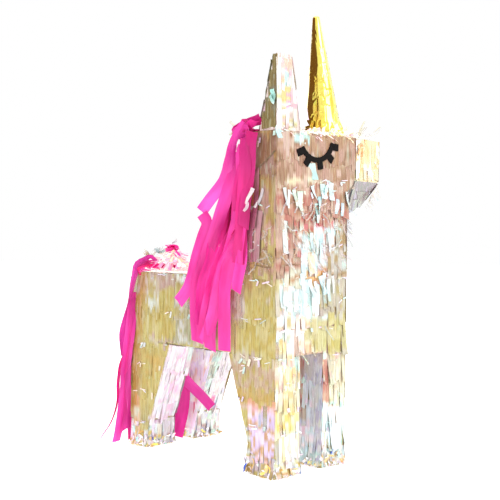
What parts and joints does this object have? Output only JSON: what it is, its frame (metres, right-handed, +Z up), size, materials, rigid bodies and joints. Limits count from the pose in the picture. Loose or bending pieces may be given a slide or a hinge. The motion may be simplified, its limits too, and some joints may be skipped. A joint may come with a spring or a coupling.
{
  "type": "unicorn pinata",
  "caption": "Standing unicorn pinata with turned head: folded card shell on four tapered legs, fringed iridescent film, gold foil horn, pink streamer mane and tail, and a fill flap on the back.",
  "frame": {"origin": "middle of the bounding box, on the surface that the hooves stand on", "axes": "+Z up, -Y the front of the body, +X the side that the turned head looks to"},
  "size_m": [0.239, 0.3222, 0.5655],
  "materials": {
    "iridescent_film": "gloss",
    "shell_card": "matte",
    "base_card": "matte",
    "gold_foil": "polished",
    "pink_streamer": "satin",
    "black_sticker": "satin"
  },
  "bodies": {
    "shell": {"back_panel_front": "shell_card", "back_panel_rear": "shell_card", "belly_panel": "shell_card", "chest_panel": "shell_card", "crown_panel": "shell_card", "ear_far": "shell_card", "ear_near": "shell_card", "eye_front": "black_sticker", "eye_rear": "black_sticker", "film_back_front": "iridescent_film", "film_back_rear": "iridescent_film", "film_belly": "iridescent_film", "film_crown": "iridescent_film", "film_ear_far": "iridescent_film", "film_ear_near": "iridescent_film", "film_front": "iridescent_film", "film_leg_front_left": "iridescent_film", "film_leg_front_right": "iridescent_film", "film_leg_rear_left": "iridescent_film", "film_leg_rear_right": "iridescent_film", "film_muzzle": "iridescent_film", "film_nape": "iridescent_film", "film_rump": "iridescent_film", "film_side_left": "iridescent_film", "film_side_right": "iridescent_film", "flank_left": "shell_card", "flank_right": "shell_card", "hoof_plate_front_left": "base_card", "hoof_plate_front_right": "base_card", "hoof_plate_rear_left": "base_card", "hoof_plate_rear_right": "base_card", "horn_collar": "gold_foil", "horn_core": "shell_card", "horn_foil": "gold_foil", "leg_front_left": "shell_card", "leg_front_right": "shell_card", "leg_rear_left": "shell_card", "leg_rear_right": "shell_card", "mane_knot": "pink_streamer", "mane_streamers_nape": "pink_streamer", "mane_streamers_side": "pink_streamer", "muzzle_shell": "shell_card", "nape_panel": "shell_card", "neck_bulkhead": "shell_card", "neck_front_panel": "shell_card", "neck_side_left": "shell_card", "neck_side_right": "shell_card", "rump_panel": "shell_card", "tail_film_tuft": "iridescent_film", "tail_rosette": "pink_streamer", "tail_streamers_corner": "pink_streamer", "tail_streamers_rump": "pink_streamer"},
    "fill_flap": {"fill_door": "shell_card", "film_door": "iridescent_film"}
  },
  "joints": [
    {"name": "fill_flap_fold", "type": "hinge", "parent": "shell", "child": "fill_flap", "pos_m": [0.03545, 0.00615, 0.238], "axis": [0, 1, 0], "range_deg": [0, 110]}
  ]
}
